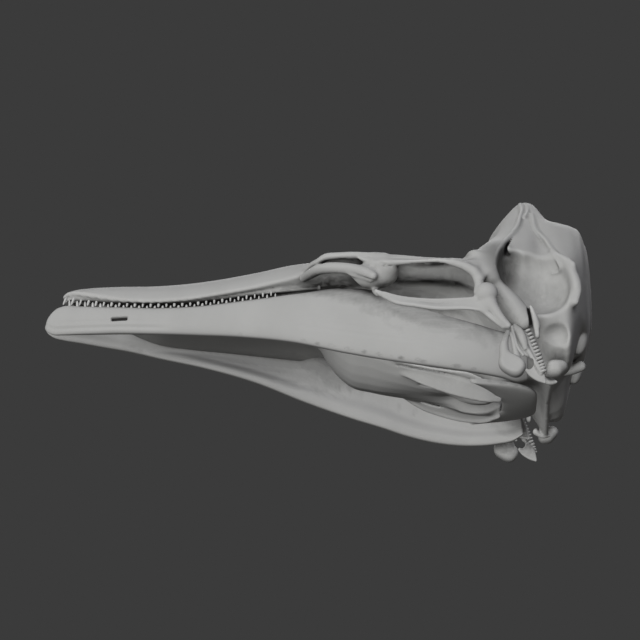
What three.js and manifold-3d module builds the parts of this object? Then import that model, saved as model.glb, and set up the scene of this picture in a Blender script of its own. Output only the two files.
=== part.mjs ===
// Skull of a Dall's porpoise with its jaws closed.
// Millimetres, +Z up. The snout points to -X, the back of the head to +X, the animal's left side to -Y.
// Every bone is drawn in the head's own frame: x runs back from the chin tip, s out from the midline
// and z up. One group then tips that frame nose down until the straight foot of the jaw rests on z = 0.

import * as THREE from 'three';
import { mergeVertices } from 'three/addons/utils/BufferGeometryUtils.js';
import Module from 'manifold-3d';

const wasm = await Module();
wasm.setup();

// Driving dimensions.
const REST_PITCH = Math.atan(0.19);
const REST_X = 217;
const REST_Z = -57.0;
const SEAM = 0.3;
const CLEARANCE = 0.4;
const TOOTH_LENGTH = 3.6;
const TOOTH_WIDTH = 2.2;
const TOOTH_ROW = { start: 11, end: 149 };

// Snout: x, half width, z of the side ridge, z of the top, half width of the top, z of the gum line, z of the palate.
const ROSTRUM = [
  [9.3, 3.2, 18.6, 20.3, 1.2, 17.4, 18.2],
  [12, 5.6, 19.2, 22.0, 2.2, 17.2, 18.0],
  [18, 9.0, 18.4, 23.4, 3.4, 16.2, 17.2],
  [27, 12.0, 15.6, 23.9, 4.8, 14.0, 15.2],
  [45, 16.3, 10.6, 23.4, 6.6, 9.4, 10.8],
  [68, 22.2, 6.0, 21.8, 9.4, 4.9, 6.2],
  [88, 28.4, 3.6, 21.2, 12.6, 2.6, 3.6],
  [110, 35.6, 3.0, 21.6, 16.5, 1.6, 1.8],
  [132, 42.4, 3.4, 24.2, 20.0, 0.6, -2.6],
  [154, 47.8, 5.6, 27.0, 21.0, -0.2, -7.0],
  [172, 49.0, 9.0, 30.0, 21.0, -1.0, -14.0],
];

// Body of the skull, outline of the left half from the top of the midline round to the palate: x, then s, z.
const BODY = [
  [150, [0, 25], [15, 28], [34, 17], [47, 6], [45, 0], [36, -2], [24, -4], [12, -7], [0, -8]],
  [166, [0, 28], [15, 32], [36, 20], [50, 10], [49, 3], [38, -3], [26, -9], [14, -14], [0, -16]],
  [174, [0, 30], [17, 34], [40, 22], [60, 13.2], [59, 7], [42, -3], [30, -15], [18, -24], [0, -26]],
  [186, [0, 25], [19, 34], [44, 22], [67.5, 12], [67, 5], [46, -6], [34, -22], [20, -35], [0, -34]],
  [200, [0, 22], [20, 33], [46, 20], [70, 9.8], [70, 3], [48, -8], [34, -27], [18, -43], [0, -40]],
  [222, [0, 30], [20, 36], [48, 20], [73, 7], [74, 1], [48, -9], [34, -30], [15, -50], [0, -44]],
  [242, [0, 40], [20, 40], [46, 24], [74, 4.2], [75, -1], [48, -10], [32, -32], [11, -56.5], [0, -50]],
  [258, [0, 50], [20, 46], [44, 28], [74, 4], [77, -5], [50, -14], [32, -34], [11, -60], [0, -55]],
  [272, [0, 58], [18, 54], [40, 32], [68, 8], [80, -14], [56, -30], [34, -40], [12, -60.5], [0, -57]],
  [284, [0, 68], [11, 66], [36, 38], [60, 14], [78, -22], [62, -33], [36, -42], [14, -59], [0, -56]],
  [296, [0, 75.2], [7, 73.5], [34, 44], [56, 22], [72, -8], [69, -30], [46, -48], [24, -56], [0, -54]],
  [307, [0, 68], [14, 64], [40, 40], [57, 18], [71, -6], [67, -32], [54, -58], [34, -56], [0, -52]],
  [316, [0, 60], [18, 55], [40, 38], [60, 14], [70, -8], [63, -32], [50, -50], [30, -46], [0, -44]],
  [323, [0, 54], [18, 50], [34, 38], [50, 20], [62, 0], [60, -16], [44, -30], [24, -34], [0, -32]],
  [329, [0, 48.5], [14, 45], [24, 37], [32, 26], [36, 12], [34, 2], [26, -6], [14, -10], [0, -12]],
  [334.6, [0, 38], [5, 37.5], [9, 35.5], [12, 32], [13, 28], [12, 24], [9, 20.5], [5, 18.5], [0, 18]],
];

// Jaw: x, s of the outer face at the top and at the foot, thickness, z of the top and of the foot.
const JAW = [
  [0.4, 2.6, 2.2, 1.9, 4.6, -3.4],
  [3, 4.8, 3.8, 3.6, 11.2, -6.4],
  [10, 6.4, 6.2, 5.6, 12.9, -8.2],
  [22, 9.4, 9.2, 8.2, 11.0, -10.4],
  [35, 13.0, 12.4, 9.4, 8.0, -12.6],
  [50, 17.0, 15.6, 9.2, 4.8, -14.6],
  [68, 21.4, 19.6, 8.8, 1.8, -17.2],
  [96, 29.0, 26.8, 8.6, -1.4, -21.8],
  [127, 39.0, 36.8, 8.4, -2.8, -31.6],
  [157, 48.4, 44.8, 8.2, -3.7, -41.4],
  [187, 57.0, 51.4, 8.0, -5.2, -50.4],
  [205, 61.0, 56.0, 7.8, -9.6, -55.0],
  [217, 63.0, 59.4, 7.8, -16.0, -57.5],
  [246, 66.0, 62.6, 7.6, -28.0, -62.9],
  [262, 65.0, 59.4, 7.6, -33.0, -64.2],
  [276, 62.6, 54.6, 8.0, -37.0, -65.0],
  [286, 61.4, 48.6, 8.4, -39.0, -65.2],
  [291, 60.0, 45.6, 6.8, -42.0, -62.4],
];

// Bars and processes of the cheek and the skull base: points x, s, z, then the radii at the two ends.
const BARS = [
  { name: 'cheek', points: [[196, 66, -4], [206, 72, -16], [218, 78, -23.6], [241, 79.4, -27.6], [264, 81, -28.4], [272, 80, -28]],
    radii: [5, 3.9], flat: 0.8 },
  { name: 'brow', points: [[176, 60, 8], [196, 70, 4], [208, 70.5, -3.5]], radii: [5, 4], flat: 0.7 },
];

const BALLS = [
  { name: 'cheek knob', centre: [268.5, 79, -22], radii: [8, 8, 8.6], lean: 0 },
  { name: 'cheek process', centre: [279.6, 77.5, -31], radii: [9, 8.6, 15], lean: -22 },
  { name: 'neck process', centre: [306.5, 51, -55], radii: [7, 6.5, 8], lean: 0 },
  { name: 'base crest', centre: [303, 42.5, -56.4], radii: [6.5, 5, 8.5], lean: -15 },
  { name: 'neck joint', centre: [317, 24, -28], radii: [8.5, 12, 18], lean: 10 },
];

const HOLLOWS = [
  { name: 'temple', centre: [299.5, 76, -6], radii: [20.5, 36, 24], lean: 0 },
  { name: 'eye', centre: [239.5, 78, -12.6], radii: [22, 33, 10.6], lean: 0 },
  { name: 'snout notch', centre: [168, 57, 6], radii: [4.5, 8, 12], lean: 0 },
  { name: 'nostril', centre: [208, 9.5, 30], radii: [11, 7.5, 22], lean: -12 },
  { name: 'neck cup', centre: [311, 64, -43], radii: [9, 8, 9.5], lean: 0 },
];

const SPINE_HOLE = { start: [300, 0, 0], end: [345, 0, -6], radius: 16 };
const TONGUE = { points: [[300, 0, -37.5], [318, 0, -37], [327.6, 0, -34.4]], radii: [3.6, 3.2] };

// Ear bone, the small bone behind it, and the throat plate.
const EAR_BONE = { centre: [281.6, 71.0, -55.8], radii: [8.2, 6.6, 13.2], lean: 8 };
const PERIOTIC = {
  points: [[288.4, 67, -34.5], [292.0, 66, -46], [297.4, 64, -58.5], [300.8, 62.4, -68.4]],
  radii: [5.0, 1.9],
};
const THROAT = {
  tip: 258, arm: 4, notch: 277, back: 297.6, half: 33.5, inner: 7, thickness: 3, z: -60.4, drop: 3.2,
};

const bone = (colour, roughness) => new THREE.MeshStandardMaterial({ color: colour, roughness, metalness: 0 });

/** Indexed closed geometry from a list of equal rings of points, with a flat fan on each end. */
function loft(rings) {
  const sides = rings[0].length;
  const positions = [];
  const index = [];
  rings.forEach((ring) => ring.forEach((p) => positions.push(p.x, p.y, p.z)));
  for (let i = 0; i + 1 < rings.length; i += 1) {
    for (let j = 0; j < sides; j += 1) {
      const a = i * sides + j;
      const b = i * sides + ((j + 1) % sides);
      index.push(a, b, b + sides, a, b + sides, a + sides);
    }
  }
  [rings[0], rings[rings.length - 1]].forEach((ring, end) => {
    const middle = ring.reduce((sum, p) => sum.add(p), new THREE.Vector3()).divideScalar(sides);
    const hub = positions.length / 3;
    const first = end === 0 ? 0 : (rings.length - 1) * sides;
    positions.push(middle.x, middle.y, middle.z);
    for (let j = 0; j < sides; j += 1) {
      const a = first + j;
      const b = first + ((j + 1) % sides);
      index.push(...(end === 0 ? [hub, b, a] : [hub, a, b]));
    }
  });
  const geometry = new THREE.BufferGeometry();
  geometry.setAttribute('position', new THREE.Float32BufferAttribute(positions, 3));
  geometry.setIndex(index);
  return geometry;
}

/** Signed volume of an indexed geometry, negative when its faces point inwards. */
function volumeOf(geometry) {
  const position = geometry.getAttribute('position');
  const index = geometry.getIndex();
  const [a, b, c] = [new THREE.Vector3(), new THREE.Vector3(), new THREE.Vector3()];
  let sum = 0;
  for (let i = 0; i < index.count; i += 3) {
    a.fromBufferAttribute(position, index.getX(i));
    b.fromBufferAttribute(position, index.getX(i + 1));
    c.fromBufferAttribute(position, index.getX(i + 2));
    sum += a.dot(b.cross(c)) / 6;
  }
  return sum;
}

/** Solid that can be joined and cut, made from a closed geometry. */
function solid(source) {
  const bare = source.clone();
  bare.deleteAttribute('normal');
  bare.deleteAttribute('uv');
  const merged = mergeVertices(bare, 1e-4);
  const triangles = Uint32Array.from(merged.getIndex().array);
  if (volumeOf(merged) < 0) {
    for (let i = 0; i < triangles.length; i += 3) {
      [triangles[i], triangles[i + 1]] = [triangles[i + 1], triangles[i]];
    }
  }
  const vertProperties = Float32Array.from(merged.getAttribute('position').array);
  return new wasm.Manifold(new wasm.Mesh({ numProp: 3, vertProperties, triVerts: triangles }));
}

function geometryOf(shape) {
  const mesh = shape.getMesh();
  const geometry = new THREE.BufferGeometry();
  geometry.setAttribute('position', new THREE.Float32BufferAttribute(mesh.vertProperties, 3));
  geometry.setIndex(Array.from(mesh.triVerts));
  geometry.computeVertexNormals();
  return geometry;
}

/** The same solid on the right side of the head. */
function mirrored(geometry) {
  return geometry.clone().applyMatrix4(new THREE.Matrix4().makeScale(1, -1, 1));
}

const both = (geometry) => [solid(geometry), solid(mirrored(geometry))];
const left = ([x, s, z]) => new THREE.Vector3(x, -s, z);

/** Ring of points across the head from the points of its left half, the midline ones used once. */
function acrossRing(x, half) {
  const leftSide = half.map(([s, z]) => left([x, s, z]));
  const rightSide = half.slice(1, -1).reverse().map(([s, z]) => new THREE.Vector3(x, s, z));
  return [...leftSide, ...rightSide];
}

/** Ellipsoid with its centre, radii and a lean about the sideways axis in degrees, grown by a clearance. */
function ball({ centre, radii, lean }, grow = 0, columns = 14, rows = 9) {
  const geometry = new THREE.SphereGeometry(1, columns, rows);
  geometry.scale(...radii.map((radius) => radius + grow));
  geometry.rotateY(THREE.MathUtils.degToRad(lean));
  const p = left(centre);
  return geometry.translate(p.x, p.y, p.z);
}

/** Bar of round or flattened section along a smooth curve, its radius running evenly from end to end. */
function bar({ points, radii, flat = 1 }, grow = 0, sides = 10, steps = 14) {
  const curve = new THREE.CatmullRomCurve3(points.map(left));
  const up = new THREE.Vector3(0, 0, 1);
  const rings = Array.from({ length: steps + 1 }, (_, i) => {
    const t = i / steps;
    const middle = curve.getPoint(t);
    const side = new THREE.Vector3().crossVectors(curve.getTangent(t), up).normalize();
    const top = new THREE.Vector3().crossVectors(side, curve.getTangent(t)).normalize();
    const end = t === 0 || t === 1;
    const radius = THREE.MathUtils.lerp(radii[0], radii[1], t) * (end ? 0.55 : 1) + grow;
    middle.addScaledVector(curve.getTangent(t), end ? (t * 2 - 1) * grow : 0);
    return Array.from({ length: sides }, (__, j) => {
      const a = (j / sides) * Math.PI * 2;
      return middle.clone()
        .addScaledVector(side, Math.cos(a) * radius * flat)
        .addScaledVector(top, Math.sin(a) * radius);
    });
  });
  return loft(rings);
}

/** Value of a table's column at x, straight between the rows. */
function along(table, column, x) {
  const next = Math.max(1, table.findIndex((row) => row[0] >= x));
  const [before, after] = [table[next - 1], table[next]];
  const t = (x - before[0]) / (after[0] - before[0]);
  return THREE.MathUtils.lerp(before[column], after[column], t);
}

function rostrum() {
  const rings = ROSTRUM.map(([x, half, ridge, top, topHalf, gum, palate]) => acrossRing(x, [
    [0, top - 0.14 * topHalf],
    [topHalf * 0.55, top],
    [topHalf, top - 0.6],
    [(topHalf + half) / 2, (top + ridge) / 2 + 1.2],
    [half, ridge],
    [half * 0.97 - 0.6, (ridge + gum) / 2],
    [half * 0.95 - 0.5, gum],
    [half * 0.72 - 1, gum],
    [half * 0.5 - 0.5, palate],
    [0, palate],
  ]));
  return loft(rings);
}

function cranium() {
  let shape = solid(rostrum());
  shape = shape.add(solid(loft(BODY.map(([x, ...half]) => acrossRing(x, half)))));
  BALLS.forEach((item) => both(ball(item)).forEach((piece) => { shape = shape.add(piece); }));
  HOLLOWS.forEach((item) => both(ball(item)).forEach((piece) => { shape = shape.subtract(piece); }));
  BARS.forEach((item) => both(bar(item)).forEach((piece) => { shape = shape.add(piece); }));
  const { start, end, radius } = SPINE_HOLE;
  shape = shape.subtract(solid(bar({ points: [start, end], radii: [radius, radius] }, 0, 14, 2)));
  shape = shape.add(solid(bar(TONGUE, 0, 8, 6)));
  both(jawBlade(CLEARANCE)).forEach((piece) => { shape = shape.subtract(piece); });
  both(ball(EAR_BONE, CLEARANCE)).forEach((piece) => { shape = shape.subtract(piece); });
  both(bar(PERIOTIC, CLEARANCE)).forEach((piece) => { shape = shape.subtract(piece); });
  return shape.subtract(solid(throatPlate(CLEARANCE)));
}

/** One side of the jaw: a tall thin blade, round at the top and the foot, thick enough at the chin to meet. */
function jawBlade(grow = 0) {
  const last = JAW.length - 1;
  return loft(JAW.map((row, i) => {
    const x = row[0] + (i === last ? grow : 0) - (i === 0 ? grow : 0);
    const [top, foot, thickness] = [row[1] + grow, row[2] + grow, row[3] + grow * 2];
    const [zTop, zFoot] = [row[4] + grow, row[5] - grow];
    const inset = thickness * 0.5;
    const height = zTop - zFoot;
    const rim = Math.min(3, height * 0.2);
    return [
      [top - inset, zTop],
      [top - inset * 0.3, zTop - rim * 0.35],
      [top, zTop - rim],
      [(top + foot) / 2 + 0.8, (zTop + zFoot) / 2],
      [foot, zFoot + rim],
      [foot - inset * 0.4, zFoot + rim * 0.25],
      [foot - inset, zFoot],
      [foot - thickness * 0.8, zFoot + rim * 0.4],
      [foot - thickness, zFoot + rim * 1.3],
      [(top + foot) / 2 - thickness * 0.9, (zTop + zFoot) / 2],
      [top - thickness, zTop - rim * 1.2],
      [top - thickness * 0.8, zTop - rim * 0.3],
    ].map(([s, z]) => left([x, Math.max(s, SEAM / 2), z]));
  }));
}

/** Row of teeth as one rail from the gum line to the tooth tips, over the jaw or under the snout. */
function toothRail(upper) {
  const { start, end } = TOOTH_ROW;
  const stations = [start, ...[...ROSTRUM, ...JAW].map((row) => row[0]), end]
    .filter((x) => x >= start && x <= end)
    .sort((a, b) => a - b)
    .filter((x, i, list) => i === 0 || x > list[i - 1]);
  return loft(stations.map((x) => {
    const [above, below] = [along(ROSTRUM, 5, x) - SEAM, along(JAW, 4, x) + SEAM];
    const gum = upper ? above : below;
    const reach = Math.min(TOOTH_LENGTH, above - below - SEAM) * (upper ? -1 : 1);
    const width = TOOTH_WIDTH / 2;
    const middle = along(JAW, 1, x) - along(JAW, 3, x) / 2 + (upper ? 1 : -1) * (width + SEAM / 2);
    return [
      [middle - width, gum],
      [middle + width, gum],
      [middle + width * 0.6, gum + reach],
      [middle - width * 0.6, gum + reach],
    ].map(([s, z]) => left([x, Math.max(s, SEAM), z]));
  }));
}

/** Horseshoe plate with two arms forward, domed downwards, from its plan outline. */
function throatPlate(grow = 0) {
  const { inner, drop } = THROAT;
  const arm = THROAT.arm + grow * 2;
  const [tip, notch, back] = [THROAT.tip - grow, THROAT.notch - grow, THROAT.back + grow];
  const [half, thickness, z] = [THROAT.half + grow, THROAT.thickness, THROAT.z];
  const steps = 12;
  const rings = Array.from({ length: steps * 2 + 1 }, (_, i) => {
    const t = (i - steps) / steps;
    const s = half * t;
    const fold = Math.abs(t) ** 2;
    const rise = z + drop * fold;
    const front = Math.abs(s) < inner ? notch : notch - (notch - tip) * ((Math.abs(s) - inner) / (half - inner));
    const rear = back - (back - tip - arm) * Math.abs(t) ** 5;
    return [
      new THREE.Vector3(front, s, rise - grow),
      new THREE.Vector3((front + rear) / 2, s, rise - thickness * 0.5 - grow),
      new THREE.Vector3(rear, s, rise + thickness * 0.2 - grow),
      new THREE.Vector3(rear, s, rise + thickness * 0.7 + grow),
      new THREE.Vector3((front + rear) / 2, s, rise + thickness * 0.5 + grow),
      new THREE.Vector3(front, s, rise + thickness + grow),
    ];
  });
  return loft(rings);
}

/** Half space below the surface the skull rests on, in the head's own frame. */
function ground() {
  const slab = new THREE.BoxGeometry(900, 400, 60);
  slab.translate(0, 0, -30);
  slab.rotateY(REST_PITCH);
  return solid(slab.translate(REST_X, 0, REST_Z));
}

const floor = ground();
const jaw = jawBlade();
const cranialBone = cranium();

const PIECES = [
  ['cranium', cranialBone, bone('#b9b8b4', 0.62)],
  ['mandible_left', solid(jaw).subtract(floor), bone('#bdbcb8', 0.6)],
  ['mandible_right', solid(mirrored(jaw)).subtract(floor), bone('#bdbcb8', 0.6)],
  ['ear_bone_left', solid(ball(EAR_BONE)).subtract(floor), bone('#cfcecb', 0.5)],
  ['ear_bone_right', solid(mirrored(ball(EAR_BONE))).subtract(floor), bone('#cfcecb', 0.5)],
  ['periotic_left', solid(bar(PERIOTIC)).subtract(floor), bone('#c6c5c1', 0.55)],
  ['periotic_right', solid(mirrored(bar(PERIOTIC))).subtract(floor), bone('#c6c5c1', 0.55)],
  ['hyoid', solid(throatPlate()), bone('#a9a8a5', 0.6)],
  ['teeth_upper_left', solid(toothRail(true)), bone('#d2d1cc', 0.4)],
  ['teeth_upper_right', solid(mirrored(toothRail(true))), bone('#d2d1cc', 0.4)],
  ['teeth_lower_left', solid(toothRail(false)), bone('#d2d1cc', 0.4)],
  ['teeth_lower_right', solid(mirrored(toothRail(false))), bone('#d2d1cc', 0.4)],
];

const head = new THREE.Group();
PIECES.forEach(([name, shape, material]) => {
  const mesh = new THREE.Mesh(geometryOf(shape), material);
  mesh.name = name;
  head.add(mesh);
});

// The rest point moves to the origin, the head tips nose down about it, and the box is centred in X.
head.rotation.y = -REST_PITCH;
head.position.copy(new THREE.Vector3(-REST_X, 0, -REST_Z).applyEuler(head.rotation));
head.updateMatrixWorld(true);
const box = new THREE.Box3().setFromObject(head, true);
head.position.x -= (box.min.x + box.max.x) / 2;
head.position.z -= box.min.z;

const skull = new THREE.Group();
skull.add(head);

export default skull;
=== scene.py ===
# %% [markdown]
# Dall's porpoise skull, seen from its left side and a little from below.
# A skull is many bones grown together, with two lower jaws, loose ear bones, a throat plate and peg teeth.
# It could be sculpted by hand or drawn as subdivided meshes. Here most of it is a field of distances on
# a grid, because a fold, a slit or a hollow is then one line, and each join has a fillet of its own.
# The CAD model is loaded first: it fixes the place and the size of every bone.
# The box round it is kept, because the finished look has to stay inside it.

# %% Load the CAD model
import math
import bpy
import numpy as np
from mathutils import Matrix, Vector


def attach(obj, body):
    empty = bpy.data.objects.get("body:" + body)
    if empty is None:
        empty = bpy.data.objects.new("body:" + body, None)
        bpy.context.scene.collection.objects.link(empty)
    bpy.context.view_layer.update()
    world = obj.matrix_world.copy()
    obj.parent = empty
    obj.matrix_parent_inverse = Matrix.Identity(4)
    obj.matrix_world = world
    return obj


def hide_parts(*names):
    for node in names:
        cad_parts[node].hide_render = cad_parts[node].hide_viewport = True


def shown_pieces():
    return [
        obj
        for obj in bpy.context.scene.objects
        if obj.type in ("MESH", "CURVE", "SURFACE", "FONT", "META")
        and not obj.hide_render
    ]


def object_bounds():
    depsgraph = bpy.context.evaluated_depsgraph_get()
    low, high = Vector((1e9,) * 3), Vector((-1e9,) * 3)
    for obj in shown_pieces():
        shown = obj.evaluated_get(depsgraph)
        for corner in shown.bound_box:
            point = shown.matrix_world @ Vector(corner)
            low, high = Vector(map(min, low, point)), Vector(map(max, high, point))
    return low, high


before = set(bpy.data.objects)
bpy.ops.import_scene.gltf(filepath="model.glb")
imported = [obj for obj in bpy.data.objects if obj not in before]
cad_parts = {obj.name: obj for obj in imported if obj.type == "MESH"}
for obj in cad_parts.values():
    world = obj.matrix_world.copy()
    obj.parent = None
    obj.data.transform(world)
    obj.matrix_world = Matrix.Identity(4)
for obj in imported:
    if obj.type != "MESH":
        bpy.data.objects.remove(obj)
cad_low, cad_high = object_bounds()
print("CAD box in metres", [round(v, 4) for v in cad_low], [round(v, 4) for v in cad_high])

# %% [markdown]
# All bones are drawn in the head's own frame, in millimetres.
# x runs back from the chin, s runs outwards from the midline on either side, and z runs up.
# On the table the skull tips nose down, because it rests on the straight part of both jaw edges.
# An object could be turned instead, but every object stays unturned at the origin for the export.

# %% The head's own frame
REST_SLOPE = 0.19
REST_X = 217.0
REST_Z = -57.0
CHIN = np.array([0.4, 4.6])
TILT = math.atan(REST_SLOPE)


def tipped(points):
    """Head frame points turned nose down: world x = dx cos t - dz sin t, world z = dx sin t + dz cos t."""
    points = np.asarray(points, dtype=float)
    dx = points[..., 0] - REST_X
    dz = points[..., 2] - REST_Z
    x = dx * math.cos(TILT) - dz * math.sin(TILT)
    z = dx * math.sin(TILT) + dz * math.cos(TILT)
    return np.stack([x, points[..., 1], z], axis=-1)


SHIFT = np.array([cad_low[0] * 1000 - tipped([CHIN[0], 0, CHIN[1]])[0], 0, 0])


def to_world(points):
    """Head frame millimetres to world metres: world = (tipped + shift) / 1000."""
    return (tipped(points) + SHIFT) / 1000


print("the rest point in the world:", to_world([REST_X, 0, REST_Z]))

# %% [markdown]
# The camera is a plain pinhole camera, aimed at a point in the middle of the skull.
# It stands on the left, slightly behind and well below, so its picture is rolled by the tilt.
# The focal length is that of the photo, in pixels, and the lens in millimetres follows from it.

# %% The camera
AIM = np.array([169.0, 0.0, 0.0])
CAMERA_AZIMUTH = math.radians(4)
CAMERA_ELEVATION = math.radians(-24)
CAMERA_DISTANCE = 1100.0
FOCAL_PIXELS = 1803
PICTURE_PIXELS = 640
SENSOR_WIDTH = 36.0


def axes(azimuth, elevation):
    """Right, up and backward unit vectors of a camera that looks at the head from that direction."""
    back = np.array([math.sin(azimuth) * math.cos(elevation),
                     -math.cos(azimuth) * math.cos(elevation),
                     math.sin(elevation)])
    right = np.array([math.cos(azimuth), math.sin(azimuth), 0.0])
    return right, np.cross(back, right), back


def turned(direction):
    """A direction in the head frame as a direction in the world."""
    return tipped(np.array([REST_X, 0.0, REST_Z]) + direction)


right, up, back = axes(CAMERA_AZIMUTH, CAMERA_ELEVATION)
camera_data = bpy.data.cameras.new("camera")
camera_data.sensor_width = SENSOR_WIDTH
camera_data.lens = FOCAL_PIXELS / PICTURE_PIXELS * SENSOR_WIDTH
camera_data.clip_start = 0.05
camera_data.clip_end = 20
camera = bpy.data.objects.new("camera", camera_data)
bpy.context.scene.collection.objects.link(camera)
turn = Matrix(np.stack([turned(right), turned(up), turned(back)], axis=1).tolist()).to_4x4()
camera.matrix_world = Matrix.Translation(to_world(AIM + back * CAMERA_DISTANCE)) @ turn
bpy.context.scene.camera = camera
print("camera at", [round(v, 3) for v in camera.location], "lens", round(camera_data.lens, 1), "mm")

# %% [markdown]
# Bone that has grown together is sculpted like clay, as a field on a grid of points.
# The field holds a signed distance in millimetres: negative is inside the bone.
# Bars, webs and rounded lumps are added with a fillet, and hollows are carved the same way.
# FAR is the distance written where no bone is near.

# %% Fillets, turns and smooth lines
FAR = 30.0


def smooth_min(a, b, blend):
    """Union of two fields with a fillet: min(a, b) - h^2 blend / 4, where h = max(1 - |a - b| / blend, 0)."""
    h = np.maximum(1 - np.abs(a - b) / blend, 0)
    return np.minimum(a, b) - h * h * blend / 4


def turning(lean, yaw, roll):
    """Turning matrix: roll about x, then lean about the sideways axis, then yaw about z, in degrees."""
    a, b, c = np.radians([lean, yaw, roll])
    about_s = np.array([[math.cos(a), 0, -math.sin(a)], [0, 1, 0], [math.sin(a), 0, math.cos(a)]])
    about_z = np.array([[math.cos(b), -math.sin(b), 0], [math.sin(b), math.cos(b), 0], [0, 0, 1]])
    about_x = np.array([[1, 0, 0], [0, math.cos(c), -math.sin(c)], [0, math.sin(c), math.cos(c)]])
    return about_z @ about_s @ about_x


def catmull_rom(a, b, c, d, u):
    """Point at u from b to c on the curve through four points in a row, a cubic in u."""
    return 0.5 * (2 * b + (c - a) * u + (2 * a - 5 * b + 4 * c - d) * u ** 2
                  + (3 * b - a - 3 * c + d) * u ** 3)


def smooth_line(points, count):
    """Even samples of a Catmull-Rom curve through the points; a point may carry extra columns."""
    points = np.array(points, dtype=float)
    padded = np.vstack([2 * points[0] - points[1], points, 2 * points[-1] - points[-2]])
    t = np.linspace(0, len(points) - 1, count)
    i = np.minimum(t.astype(int), len(points) - 2)
    u = (t - i)[:, None]
    a, b, c, d = padded[i], padded[i + 1], padded[i + 2], padded[i + 3]
    return catmull_rom(a, b, c, d, u)


def path_length(points):
    """Length of the straight pieces between points."""
    return np.linalg.norm(np.diff(np.array(points, dtype=float)[:, :3], axis=0), axis=1).sum()


# %% A block of clay
class Clay:
    """Block of clay: a field of signed distances from low to high with one value every cell millimetres."""

    def __init__(self, low, high, cell):
        self.low = np.array(low, dtype=float)
        self.cell = cell
        self.count = np.ceil((np.array(high) - self.low) / cell).astype(int) + 1
        self.field = np.full(self.count, FAR, dtype=np.float32)
        self.axis = [self.low[i] + cell * np.arange(self.count[i]) for i in range(3)]

    def window(self, low, high):
        """Slices of the grid that hold the box from low to high."""
        first = np.clip(np.floor((low - self.low) / self.cell).astype(int), 0, self.count)
        last = np.clip(np.ceil((high - self.low) / self.cell).astype(int) + 1, first, self.count)
        return tuple(slice(a, b) for a, b in zip(first, last))

    def places(self, cut):
        """Coordinates of the grid points in a window, shaped so that they broadcast."""
        x, s, z = (self.axis[i][cut[i]] for i in range(3))
        return x[:, None, None], s[None, :, None], z[None, None, :]

    def merge(self, cut, shape, blend, carve):
        """Joins a shape to the field, or takes it away: -union(-field, shape)."""
        own = self.field[cut]
        self.field[cut] = -smooth_min(-own, shape, blend) if carve else smooth_min(own, shape, blend)

    def lump(self, centre, radii, blend=2.0, lean=0.0, yaw=0.0, roll=0.0, power=2.0, carve=False):
        """Rounded lump: k^e = sum |p / r|^e, and the distance is about (k - 1) k^(e-1) / |grad|."""
        centre, radii = np.array(centre, dtype=float), np.array(radii, dtype=float)
        reach = radii.max() * (1 if power == 2 else 1.4) + blend + self.cell
        cut = self.window(centre - reach, centre + reach)
        x, s, z = self.places(cut)
        back = turning(lean, yaw, roll).T
        local = [np.abs(back[i, 0] * (x - centre[0]) + back[i, 1] * (s - centre[1])
                        + back[i, 2] * (z - centre[2])) / radii[i] + 1e-6 for i in range(3)]
        k = sum(p ** power for p in local) ** (1 / power)
        slope = np.sqrt(sum((p ** (power - 1) / r) ** 2 for p, r in zip(local, radii)))
        self.merge(cut, ((k - 1) * k ** (power - 1) / slope).astype(np.float32), blend, carve)

    def bars(self, starts, ends, start_radii, end_radii, blend, carve):
        """Union of round bars: distance to each segment minus a radius that runs evenly along it."""
        reach = max(start_radii.max(), end_radii.max()) + blend + self.cell
        low, high = np.minimum(starts, ends).min(axis=0), np.maximum(starts, ends).max(axis=0)
        cut = self.window(low - reach, high + reach)
        shape = np.full([s.stop - s.start for s in cut], FAR, dtype=np.float32)
        for p, q, r, t in zip(starts, ends, start_radii, end_radii):
            own = self.window(np.minimum(p, q) - reach, np.maximum(p, q) + reach)
            x, s, z = self.places(own)
            along = q - p
            length = max(along @ along, 1e-9)
            h = ((x - p[0]) * along[0] + (s - p[1]) * along[1] + (z - p[2]) * along[2]) / length
            h = np.clip(h, 0, 1)
            dx, ds, dz = x - p[0] - h * along[0], s - p[1] - h * along[1], z - p[2] - h * along[2]
            distance = np.sqrt(dx * dx + ds * ds + dz * dz) - (r + (t - r) * h)
            inner = tuple(slice(a.start - b.start, a.stop - b.start) for a, b in zip(own, cut))
            shape[inner] = np.minimum(shape[inner], distance)
        self.merge(cut, shape, blend, carve)

    def tube(self, points, blend=1.5, carve=False):
        """Bar along a smooth curve; each point is x, s, z and the radius there."""
        step = max(self.cell, min(p[3] for p in points) * 0.7)
        line = smooth_line(points, max(4, int(path_length(points) / step)))
        self.bars(line[:-1, :3], line[1:, :3], line[:-1, 3], line[1:, 3], blend, carve)

    def web(self, first, second, blend=1.5, carve=False):
        """Thin plate between two curves, made of bars from one to the other; a point carries its radius."""
        step = max(self.cell * 0.8, min(p[3] for p in [*first, *second]) * 0.7)
        count = max(4, int(max(path_length(first), path_length(second)) / step))
        a, b = smooth_line(first, count), smooth_line(second, count)
        self.bars(a[:, :3], b[:, :3], a[:, 3], b[:, 3], blend, carve)


# %% [markdown]
# The main masses come from cross sections of the left half, from the top of the midline to its bottom.
# Between two sections the outline changes smoothly, and each slice of the field is the distance to it.
# Slices are made on every second grid point and refined, because these masses are smooth.

# %% Sections along the head
def spread(table, at):
    """Smooth values of a table's columns at many x: a cubic curve with the first column as x."""
    table = np.array(table, dtype=float)
    x = table[:, 0]
    i = np.clip(np.searchsorted(x, at) - 1, 0, len(x) - 2)
    slope = np.gradient(table[:, 1:], x, axis=0)
    gap = (x[i + 1] - x[i])[:, None]
    u = np.clip((at - x[i])[:, None] / gap, 0, 1)
    a, b = table[i, 1:], table[i + 1, 1:]
    return ((2 * u ** 3 - 3 * u ** 2 + 1) * a + (3 * u ** 2 - 2 * u ** 3) * b
            + (u ** 3 - 2 * u ** 2 + u) * gap * slope[i] + (u ** 3 - u ** 2) * gap * slope[i + 1])


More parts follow.
